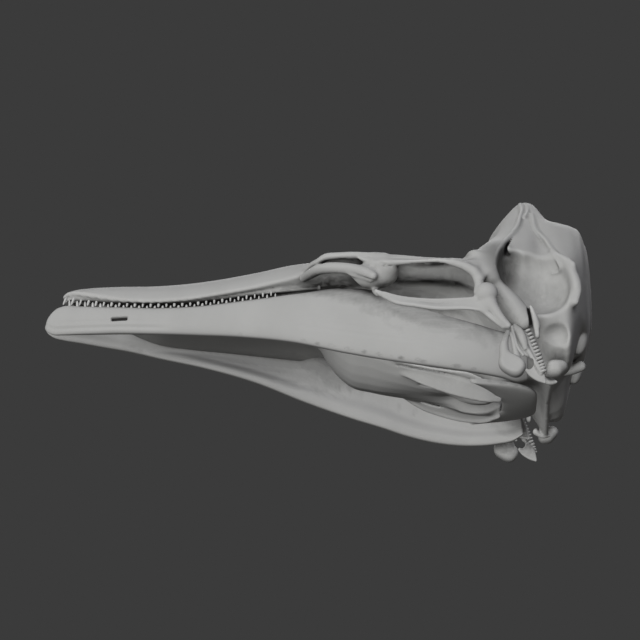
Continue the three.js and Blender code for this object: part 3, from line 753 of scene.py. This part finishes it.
for place, size in zip(beads, sizes):
    tube_bone.lump(place, (size, 1.7, 0.94), 0.25, lean=18)
tube_bone.lump((291.2, 66.4, -60.2), (2.0, 6, 3.0), 0.6, lean=-20, carve=True)
for name, clay, node in (("bulla", bulla, "ear_bone"), ("periotic", tube_bone, "periotic")):
    v, f = surface(clay.field, clay.low, EAR_CELL)
    for side, sign in (("left", -1), ("right", 1)):
        turned_faces = f if sign > 0 else f[:, ::-1]
        piece = mesh_object(f"{name}_{side}_bone", v * [1, sign, 1], turned_faces)
        own(decimated(piece, EAR_TRIANGLES), f"{node}_{side}", "ear_bone")
        shade(piece, clay.field, clay.low, EAR_CELL, mirrored=sign < 0)
    print(name, "made from", len(v), "points")

# %% [markdown]
# Each jaw is a tall thin blade. Clay would waste a large grid on it, so it is a closed loft of rings
# along the head, from a table of sections read with the same smooth curve as the snout's.
# Columns: x, top s, foot s, thickness at the top, at the waist and at the foot, top z and foot z.

# %% Lofts and the jaw's sections
JAW = [(-0.4, 1.6, 1.4, 1.0, 1.0, 1.0, 0.2, -1.4), (0.6, 3.0, 2.4, 2.4, 2.4, 2.0, 3.6, -2.9),
       (3, 4.6, 3.6, 3.6, 3.6, 3.0, 7.4, -4.9), (6, 5.4, 4.8, 4.4, 4.4, 3.8, 10.4, -6.3),
       (10, 6.6, 6.4, 5.6, 5.6, 4.6, 11.8, -7.0), (22, 9.8, 10.2, 8.0, 8.0, 6.0, 10.6, -8.4),
       (35, 13.4, 14.0, 9.0, 8.4, 6.8, 8.2, -10.0), (50, 17.6, 17.8, 9.2, 8.0, 7.0, 5.6, -11.8),
       (68, 22.0, 22.9, 9.0, 7.0, 7.0, 2.6, -14.8), (96, 29.6, 29.8, 8.8, 6.0, 7.2, -0.6, -19.4),
       (127, 39.0, 39.9, 8.4, 5.2, 7.4, -2.0, -26.0), (157, 48.4, 51.9, 8.0, 4.8, 7.6, -3.0, -35.2),
       (187, 57, 58, 7.4, 4.6, 8.0, -4.4, -45), (205, 61, 61.2, 7.0, 4.6, 8.2, -8.6, -50.2),
       (217, 63, 64.3, 6.6, 4.6, 8.4, -15, -53.8), (246, 66, 66.7, 6.2, 4.8, 8.2, -28, -60.2),
       (262, 65, 64.1, 6.2, 5.0, 8.0, -33, -62.2), (276, 62.6, 58.5, 6.6, 5.6, 7.8, -37, -63.2),
       (286, 61.4, 51.4, 7.0, 6.0, 7.4, -39, -63.4), (291, 60, 47.6, 5.4, 5.0, 5.4, -42, -61.0)]


def loft(rings):
    """Closed surface through rings of equal length, n by m by 3, each end closed by a fan to its middle."""
    rings = np.asarray(rings, dtype=float)
    count, around = rings.shape[:2]
    vertices = np.vstack([rings.reshape(-1, 3), rings[0].mean(axis=0), rings[-1].mean(axis=0)])
    i, j = np.meshgrid(np.arange(count - 1), np.arange(around), indexing="ij")
    i, j = i.ravel(), j.ravel()
    a, b = i * around + j, i * around + (j + 1) % around
    sides = np.vstack([np.stack([a, b, b + around], axis=1), np.stack([a, b + around, a + around], axis=1)])
    k = np.arange(around)
    start = np.stack([(k + 1) % around, k, np.full(around, count * around)], axis=1)
    last = (count - 1) * around
    end = np.stack([last + k, last + (k + 1) % around, np.full(around, count * around + 1)], axis=1)
    return vertices, np.vstack([sides, start, end])


def outward(vertices, faces):
    """Turns the faces over if the closed surface holds a negative volume: sum of a . (b x c) / 6."""
    a, b, c = (vertices[faces[:, i]] for i in range(3))
    volume = np.einsum("ij,ij->i", a, np.cross(b, c)).sum() / 6
    return (vertices, faces) if volume > 0 else (vertices, faces[:, ::-1])


def both_sides(name, vertices, faces, node, slot):
    """The piece on the left side of the head and its mirror image on the right."""
    made = []
    for side, sign in (("left", -1), ("right", 1)):
        v, f = outward(vertices * [1, sign, 1], faces)
        made.append(own(mesh_object(f"{name}_{side}", v, f), f"{node}_{side}", slot))
    return made


def bump(x, centre, half, soft):
    """1 inside centre +- half, falling smoothly to 0 over soft."""
    t = np.clip((np.abs(x - centre) - half) / soft, 0, 1)
    return 1 - t * t * (3 - 2 * t)


def jaw_bone_at(x, s, z):
    """Share of bone at places, 0 or 1: inside when s lies within the blade and z between foot and top."""
    columns = spread(JAW, x.ravel()).T
    top, foot, _, waist, _, z_top, z_foot = (column.reshape(x.shape) for column in columns)
    height = (2 * z - z_top - z_foot) / (z_top - z_foot)
    face = (top + foot) / 2 + (top - foot) / 2 * height
    inside = (np.abs(height) < 1) & (s < face) & (s > face - waist) & (x > JAW[0][0]) & (x < JAW[-1][0])
    return inside.astype(np.float32)


# %% [markdown]
# Painted shade goes where a place sees little of what is round it, as ambient occlusion would darken it. Rays
# are sent out from each vertex and stopped by a coarse block of the whole skull, which also holds the jaws.
# Some recesses get more painted shade than that. Each one is a centre, three radii and the amount
# taken off the share: four lie in the eye socket, one in the temple front and one under the folds.
# The jaw tips get less painted shade: they get at least a fixed share.

# %% How open each place is
COARSE = 2
RAY_START = 1.2
RECESS_EDGE, RECESS_FADE = 1.4, 0.8
TIP_END, TIP_FADE, TIP_OPEN = 75, 30, 0.85
# Recesses with extra painted shade: centre, radii and the amount taken off the share.
PAINTED_SHADE_RECESSES = [
    ((234, 52, -9), (34, 18, 8), 0.26),
    ((226, 59, -2.4), (18, 5, 2.6), 0.26),
    ((249, 57.5, -5), (16, 5, 3), 0.26),
    ((230, 72.5, 0.6), (22, 3.4, 1.8), 0.6),
    ((276.5, 60, 3), (10.5, 20, 18), 0.4),
    ((172, 54, 0), (24, 14, 5), 0.34),
]
rough_cell = CELL * COARSE
solid = np.clip(0.5 - whole[::COARSE, ::COARSE, ::COARSE] / (2 * CELL), 0, 1)
grid = np.meshgrid(*(origin[i] + rough_cell * np.arange(solid.shape[i]) for i in range(3)), indexing="ij")
solid = np.maximum(solid, jaw_bone_at(grid[0], np.abs(grid[1]), grid[2]))


def openness(piece, rays=48, distances=(1.5, 3, 5, 7.5, 10.5, 14, 19, 25)):
    """Stores the share of directions, weighted by n . d, in which a vertex sees out past all bone.

    Near a recess the share drops by amount x (edge - distance) / fade, and it is at least TIP_OPEN
    on the jaw tips.
    """
    points = head_points(piece)
    normals = np.empty(len(points) * 3, dtype=np.float32)
    piece.data.vertices.foreach_get("normal", normals)
    n = normals.reshape(-1, 3)
    n = np.stack([n[:, 0] * math.cos(TILT) + n[:, 2] * math.sin(TILT), n[:, 1],
                  -n[:, 0] * math.sin(TILT) + n[:, 2] * math.cos(TILT)], axis=1)
    start = points + n * RAY_START
    k = np.arange(rays) + 0.5
    z_part, turn = 1 - 2 * k / rays, math.pi * (1 + math.sqrt(5)) * k
    flat = np.sqrt(1 - z_part ** 2)
    seen, total = np.zeros(len(points)), np.zeros(len(points))
    limit = np.array(solid.shape) - 1
    for direction in np.stack([flat * np.cos(turn), flat * np.sin(turn), z_part], axis=1):
        weight = np.maximum(n @ direction, 0)
        clear = np.ones(len(points))
        for distance in distances:
            at = np.rint((start + direction * distance - origin) / rough_cell).astype(int)
            inside = np.all((at >= 0) & (at <= limit), axis=1)
            at = np.clip(at, 0, limit)
            clear = np.minimum(clear, 1 - solid[at[:, 0], at[:, 1], at[:, 2]] * inside)
        seen += weight * clear
        total += weight
    share = seen / np.maximum(total, 1e-6)
    # Extra painted shade in the listed recesses.
    if piece.name.startswith("cranium"):
        folded = np.stack([points[:, 0], np.abs(points[:, 1]), points[:, 2]], axis=1)
        for centre, radii, amount in PAINTED_SHADE_RECESSES:
            away = np.linalg.norm((folded - centre) / radii, axis=1)
            share = share - amount * np.clip(RECESS_EDGE - away, 0, RECESS_FADE) / RECESS_FADE
    # Less painted shade on the jaw tips.
    if piece.name.startswith("mandible"):
        tip = np.clip((TIP_END - points[:, 0]) / TIP_FADE, 0, 1)
        share = share + (np.maximum(share, TIP_OPEN) - share) * tip
    give(piece, "open", share)


# %% [markdown]
# Rings stand closer near the tip, where a slit opens in the outer face: each stretch gives its first x,
# its last x and its number of rings. A rounded-square formula gives
# each ring its outline. The slit, a furrow, a flute above it and faint streaks are pressed into the
# outer face, and a long cove is hollowed out of the inner one.

# %% Lower jaws
AROUND = 120
RING_STRETCHES = [(-0.4, 12, 44), (12.6, 38, 42), (38.4, 60, 55), (61, 291, 200)]
SLIT_X, SLIT_Z, SLIT_FALL = 48.5, -3.2, 0.09
SLIT_DEPTH, FURROW_DEPTH, FLUTE_DEPTH, STREAK_DEPTH, COVE_DEPTH = 2.6, 0.5, 0.3, 0.25, 3


def slit_at(x, z):
    """Depth of the slit, 0 to 1: a bump along x times a bump across a line that falls backwards."""
    line = SLIT_Z - (x - SLIT_X) * SLIT_FALL
    return bump(x, SLIT_X + 0.1, 4.2, 1.6) * bump(z, line, 0.5, 1.0)


stations = np.concatenate([np.linspace(*stretch) for stretch in RING_STRETCHES])
top, foot, upper, waist, lower, z_top, z_foot = (column[:, None] for column in spread(JAW, stations).T)
angle = np.linspace(0, 2 * np.pi, AROUND, endpoint=False)
across = np.sign(np.cos(angle)) * np.abs(np.cos(angle)) ** 0.6
height = np.sign(np.sin(angle)) * np.abs(np.sin(angle)) ** 0.9
x = np.repeat(stations[:, None], AROUND, axis=1)
z = (z_top + z_foot) / 2 + (z_top - z_foot) / 2 * height
wall = waist + (upper - waist) * np.clip(height, 0, 1) ** 1.5
wall = wall + (lower - waist) * bump(height, -1, 0.25, 0.5)
cove = bump(x, 110, 40, 30) * (1 - bump(z, -40, 29, 6)) * bump(z, -6, 6, 4)
bulge = (1 - height ** 2) * np.clip((z_top - z_foot) * 0.03, 0, 1.4)
outer = np.clip(np.cos(angle) * 3, 0, 1)
face = (top + foot) / 2 + (top - foot) / 2 * height + bulge
s = face - wall * (1 - across) / 2 - (1 - outer) * COVE_DEPTH * cove
furrow = bump(z, z_foot + 3.2, 0.0, 2.0) * bump(x, 40, 26, 20)
flute = bump(z, z_foot + 7.0, 0.0, 2.0) * bump(x, 40, 20, 20)
streaks = sum(bump(z, -18 - 0.26 * (x - 160) - shift, 0.0, 1.3) for shift in (0, 5, 9))
streaks = streaks * bump(x, 205, 35, 20)
pressed = SLIT_DEPTH * slit_at(x, z) + FURROW_DEPTH * furrow + FLUTE_DEPTH * flute + STREAK_DEPTH * streaks
s = s - outer * pressed
jaw_rings = np.stack([x, np.maximum(s, 0.15), z], axis=-1)
jaws = both_sides("mandible", *loft(jaw_rings), "mandible", "jaw_bone")
for jaw in jaws:
    points = head_points(jaw)
    # The slit also gets painted shade: its depth raises the stored share of bone round it.
    depth = slit_at(points[:, 0], points[:, 2])
    depth[:stations.size * AROUND] *= np.tile(outer, stations.size)
    give(jaw, "near", 0.5 + 0.3 * depth)
print("jaws of", len(jaw_rings) * AROUND, "points each")
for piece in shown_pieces():
    openness(piece)

# %% [markdown]
# The teeth are small pegs. Upper and lower ones take turns, and the front ones lean forwards.
# There are over a hundred, so each has only six rings of eight points, and one loop sets a whole row.

# %% Teeth
TEETH = 27
# The teeth get fixed shares: a little painted shade and a little painted highlight.
TOOTH_OPEN, TOOTH_NEAR = 0.9, 0.45
TOOTH_START, TOOTH_END = 12.5, 148.0
GUM_COLUMN, JAW_TOP_COLUMN = 4, 5


def peg(base, tip, radius):
    """Small pointed peg from base to tip: six rings of eight points."""
    t = np.array([0, 0.25, 0.5, 0.75, 0.92, 1.0])[:, None]
    swell = np.array([1.0, 1.05, 1.0, 0.85, 0.55, 0.15])
    middle = base + (tip - base) * t
    turn = np.linspace(0, 2 * np.pi, 8, endpoint=False)
    ring = np.stack([np.cos(turn), np.sin(turn), np.zeros(8)], axis=1)
    return loft(middle[:, None, :] + ring[None] * (swell * radius)[:, None, None])


def tooth_row(upper):
    """All pegs of one row as one closed set of surfaces."""
    vertices, faces, count = [], [], 0
    pitch = (TOOTH_END - TOOTH_START) / TEETH
    for i in range(TEETH):
        at = np.array([TOOTH_START + pitch * (i + (0.0 if upper else 0.5))])
        gum, jaw_row = spread(SNOUT, at)[0][GUM_COLUMN], spread(JAW, at)[0]
        z_jaw = jaw_row[JAW_TOP_COLUMN]
        middle = jaw_row[0] - jaw_row[2] / 2
        lean = 1.6 * math.exp(-i / 5)
        radius = (0.78 + 0.12 * math.sin(i * 2.3)) * min(1.0, 1.5 - 0.9 * i / TEETH)
        if upper:
            base = np.array([at[0], middle + 1.1, gum + 0.6])
            tip = np.array([at[0] - lean, middle + 1.5, z_jaw + 0.4])
        else:
            base = np.array([at[0], middle + 0.4, z_jaw - 0.6])
            tip = np.array([at[0] - lean * 0.4, middle + 0.2, gum - 0.4])
        v, f = outward(*peg(base, tip, radius))
        vertices.append(v)
        faces.append(f + count)
        count += len(v)
    return np.vstack(vertices), np.vstack(faces)


for upper, word in ((True, "upper"), (False, "lower")):
    both = both_sides(f"teeth_{word}_pegs", *tooth_row(upper), f"teeth_{word}", "teeth")
    for row in both:
        give(row, "open", np.full(len(row.data.vertices), TOOTH_OPEN))
        give(row, "near", np.full(len(row.data.vertices), TOOTH_NEAR))
    print(word, "teeth:", TEETH, "on each side")

# %% [markdown]
# The throat bone is a horseshoe plate that hangs between the rear ends of the jaws.
# It is one loft across the head: at each s a flat rounded ring runs from the front edge to the rear edge.

# %% Throat plate
THROAT = dict(tip=258.0, arm=4.0, notch=277.0, back=297.6, half=33.5, inner=7.0, thickness=3.0, z=-60.4,
              drop=3.2)
THROAT_RINGS, THROAT_AROUND = 121, 32
t = np.linspace(-1, 1, THROAT_RINGS)[:, None]
s = THROAT["half"] * np.sin(t * np.pi / 2)
share = np.abs(s) / THROAT["half"]
rise = THROAT["z"] + THROAT["drop"] * share ** 2 + THROAT["thickness"] / 2 + 0.2
reach = np.clip((np.abs(s) - THROAT["inner"]) / (THROAT["half"] - THROAT["inner"]), 0, 1)
front = THROAT["notch"] - (THROAT["notch"] - THROAT["tip"]) * (reach * 0.4 + 0.6 * reach ** 2)
rear = THROAT["back"] - (THROAT["back"] - THROAT["tip"] - THROAT["arm"]) * share ** 5
turn = np.linspace(0, 2 * np.pi, THROAT_AROUND, endpoint=False)[None]
along = np.sign(np.cos(turn)) * np.abs(np.cos(turn)) ** 0.35
upward = np.sign(np.sin(turn)) * np.abs(np.sin(turn)) ** 0.5
dome = -0.9 * (1 - along ** 2)
throat_rings = np.stack([(front + rear) / 2 + (rear - front) / 2 * along, np.repeat(s, THROAT_AROUND, axis=1),
                         rise + dome + upward * THROAT["thickness"] / 2 * 0.95], axis=-1)
throat = own(mesh_object("hyoid_plate", *outward(*loft(throat_rings))), "hyoid", "throat_bone")
openness(throat)
give(throat, "near", np.full(len(throat.data.vertices), 0.5))

# %% [markdown]
# Old bone that was cleaned and dried is dull, pale grey and a little chalky, so its gloss is low and wide.
# Hollows get painted shade and look darker, and edges get a painted highlight and look lighter. The ear bones
# are denser and smoother, the teeth are enamel with some gloss, and the throat plate is bone grown from
# cartilage.
# An image could be painted for this, but the stored numbers and two noises follow the shape by themselves.
# Blotches are about 22 mm apart, as stains on bone are. The grain is drawn at about 1.1 mm, coarser than
# the real one, so that it shows.

# %% Bone finishes
BLOTCHES_PER_METRE = 45.0
GRAINS_PER_METRE = 900.0
GRAIN_HEIGHT = 0.0003
# Ranges that turn the stored numbers into painted shade in hollows, painted shade where little is seen, and a
# painted highlight on edges.
HOLLOW_SHADE_RANGE = {"From Min": 0.53, "From Max": 0.72}
OCCLUSION_SHADE_RANGE = {"From Min": 0.93, "From Max": 0.22}
EDGE_HIGHLIGHT_RANGE = {"From Min": 0.46, "From Max": 0.30}
BLOTCH_RANGE = {"From Min": 0.3, "From Max": 0.7, "To Min": 0.97, "To Max": 1.03}
MIX_A, MIX_B, MIX_RESULT = 6, 7, 2


def colour(code):
    """sRGB hex code to linear red, green, blue and alpha."""
    parts = np.array([int(code[i:i + 2], 16) for i in (1, 3, 5)]) / 255
    linear = np.where(parts <= 0.04045, parts / 12.92, ((parts + 0.055) / 1.055) ** 2.4)
    return (*linear.tolist(), 1.0)


def add_node(material, kind, links=None, **values):
    """New node with its input sockets linked or set by name, and its own settings set by attribute."""
    node = material.node_tree.nodes.new(kind)
    for name, value in values.items():
        if name in node.inputs:
            node.inputs[name].default_value = value
        else:
            setattr(node, name, value)
    for socket, source in (links or {}).items():
        material.node_tree.links.new(source, node.inputs[socket])
    return node


def bone_material(name, base, dark, light, roughness):
    """Bone with painted shade in its hollows, a painted highlight on its edges, faint blotches and a fine
    grain in the surface.
    """
    material = bpy.data.materials.new(name)
    material.use_nodes = True
    shader = material.node_tree.nodes["Principled BSDF"]
    link = material.node_tree.links.new
    place = add_node(material, "ShaderNodeTexCoord")
    near = add_node(material, "ShaderNodeAttribute", attribute_name="near")
    # Painted shade in hollows: more bone round a place gives a darker colour.
    hollow = add_node(material, "ShaderNodeMapRange", {"Value": near.outputs["Fac"]}, **HOLLOW_SHADE_RANGE)
    # Painted shade where a place sees little of what is round it.
    view = add_node(material, "ShaderNodeAttribute", attribute_name="open")
    deep = add_node(material, "ShaderNodeMapRange", {"Value": view.outputs["Fac"]}, **OCCLUSION_SHADE_RANGE)
    # Painted highlight on edges: less bone round a place gives a lighter colour.
    edge = add_node(material, "ShaderNodeMapRange", {"Value": near.outputs["Fac"]}, **EDGE_HIGHLIGHT_RANGE)
    painted_shade = add_node(material, "ShaderNodeMath", {0: hollow.outputs[0], 1: deep.outputs[0]},
                    operation="MAXIMUM")
    blotch = add_node(material, "ShaderNodeTexNoise", {"Vector": place.outputs["Object"]},
                      Scale=BLOTCHES_PER_METRE, Detail=3.0)
    blotch_tone = add_node(material, "ShaderNodeMapRange", {"Value": blotch.outputs[0]}, **BLOTCH_RANGE)
    # The dark colour, mixed in by the painted shade.
    shaded_tone = add_node(material, "ShaderNodeMix", {"Factor": painted_shade.outputs[0]}, data_type="RGBA")
    shaded_tone.inputs[MIX_A].default_value = colour(base)
    shaded_tone.inputs[MIX_B].default_value = colour(dark)
    # The light colour, mixed in by the painted highlight.
    highlighted_tone = add_node(material, "ShaderNodeMix",
                    {"Factor": edge.outputs[0], MIX_A: shaded_tone.outputs[MIX_RESULT]}, data_type="RGBA")
    highlighted_tone.inputs[MIX_B].default_value = colour(light)
    tone = add_node(material, "ShaderNodeVectorMath",
                    {0: highlighted_tone.outputs[MIX_RESULT], "Scale": blotch_tone.outputs[0]}, operation="SCALE")
    link(tone.outputs[0], shader.inputs["Base Color"])
    grain = add_node(material, "ShaderNodeTexNoise", {"Vector": place.outputs["Object"]},
                     Scale=GRAINS_PER_METRE, Detail=4.0)
    relief = add_node(material, "ShaderNodeBump", {"Height": grain.outputs[0]}, Strength=0.12,
                      Distance=GRAIN_HEIGHT)
    link(relief.outputs[0], shader.inputs["Normal"])
    shader.inputs["Roughness"].default_value = roughness
    shader.inputs["Specular IOR Level"].default_value = 0.15
    return material


# Each finish: its own colour, the dark colour of its painted shade, the light colour of its painted
# highlight, and the roughness.
finishes = {
    "skull_bone": bone_material("weathered skull bone", "#C6C6C4", "#333231", "#DEDEDC", 0.75),
    "jaw_bone": bone_material("weathered jaw bone", "#C4C4C2", "#333231", "#E2E2E0", 0.75),
    "ear_bone": bone_material("dense ear bone", "#C2C2C0", "#3C3B3A", "#DADAD8", 0.65),
    "throat_bone": bone_material("throat cartilage bone", "#CBCBC9", "#3C3B3A", "#DEDEDC", 0.75),
    "teeth": bone_material("dry tooth enamel", "#DCDCDA", "#8A8987", "#E8E8E6", 0.5),
}
SLOTS = {"cranium": "skull_bone", "mandible": "jaw_bone", "bulla": "ear_bone", "periotic": "ear_bone",
         "hyoid": "throat_bone", "teeth": "teeth"}
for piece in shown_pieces():
    piece.data.materials.clear()
    piece.data.materials.append(finishes[SLOTS[piece.name.split("_")[0]]])
print("finishes:", [material.name for material in finishes.values()])

# %% [markdown]
# The picture was lit evenly from the camera's upper left, with weak light from above and below on the
# right. One key light casts no shadow and a weaker, broad one does, so shadows stay faint and soft.
# Large area lights could do the same, but a sun has one direction, which is easier to match.
# The last sun shines from the far side. The camera sees hardly anything of it, but other views need it.
# The surround adds a little grey.

# %% Lights and surround
bpy.context.scene.view_settings.view_transform = "Standard"
world = bpy.data.worlds.new("surround")
world.use_nodes = True
world.node_tree.nodes["Background"].inputs["Color"].default_value = colour("#3B3B3B")
world.node_tree.nodes["Background"].inputs["Strength"].default_value = 1.0
bpy.context.scene.world = world


def sun(name, view_direction, strength, code, shadow=False, spread_angle=10):
    """Sun that shines from a direction given as right, up and towards the camera."""
    data = bpy.data.lights.new(name, "SUN")
    data.energy = strength
    data.color = colour(code)[:3]
    data.angle = math.radians(spread_angle)
    data.use_shadow = shadow
    light = bpy.data.objects.new(name, data)
    z_axis = turned(right * view_direction[0] + up * view_direction[1] + back * view_direction[2])
    z_axis /= np.linalg.norm(z_axis)
    x_axis = np.cross([0, 0, 1], z_axis)
    x_axis /= np.linalg.norm(x_axis)
    turn = Matrix(np.stack([x_axis, np.cross(z_axis, x_axis), z_axis], axis=1).tolist())
    light.rotation_mode = "QUATERNION"
    light.rotation_quaternion = turn.to_quaternion()
    bpy.context.scene.collection.objects.link(light)


sun("key light", (-0.408, 0.347, 0.844), 1.55, "#FFFFFF")
sun("soft key light", (-0.408, 0.347, 0.844), 0.52, "#FFFFFF", shadow=True, spread_angle=50)
sun("top light", (0.522, 0.826, 0.213), 0.26, "#F0F0FF")
sun("low light", (0.625, -0.562, -0.542), 0.025, "#FFE4C8")
sun("far side light", (0.2, 0.35, -0.92), 1.7, "#FFFFFF", shadow=True, spread_angle=30)
